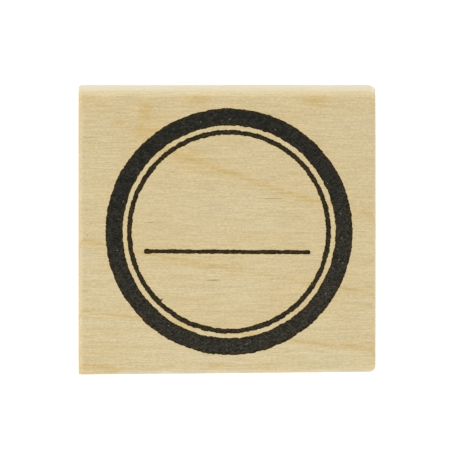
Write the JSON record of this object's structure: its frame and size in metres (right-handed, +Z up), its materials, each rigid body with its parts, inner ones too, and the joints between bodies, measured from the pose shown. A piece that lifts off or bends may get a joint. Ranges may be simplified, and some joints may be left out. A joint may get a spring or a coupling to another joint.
{
  "type": "rubber stamp",
  "caption": "Wood-mounted rubber stamp: a square maple grip with a ringed circle and writing line, inked on top and raised on a round rubber die below.",
  "frame": {"origin": "on the printing plane, under the centre of the wood block", "axes": "+X along the grain of the block, +Y to the rear, +Z up from the printing plane towards the index print"},
  "size_m": [0.0508, 0.0486, 0.025],
  "materials": {
    "maple": "satin",
    "index_ink": "matte",
    "adhesive_film": "satin",
    "foam": "matte",
    "red_rubber": "matte"
  },
  "bodies": {
    "block": {"wood_block": "maple", "index_outer_ring": "index_ink", "index_inner_ring": "index_ink", "index_writing_line": "index_ink", "block_adhesive": "adhesive_film", "foam_cushion": "foam"},
    "die": {"die_adhesive": "adhesive_film", "rubber_die": "red_rubber"}
  },
  "joints": [
    {"name": "cushion_press", "type": "slide", "parent": "block", "child": "die", "axis": [0, 0, 1], "range_m": [0, 0.0008], "stiffness_N_per_m": 75000, "deforming": ["foam_cushion"]}
  ]
}
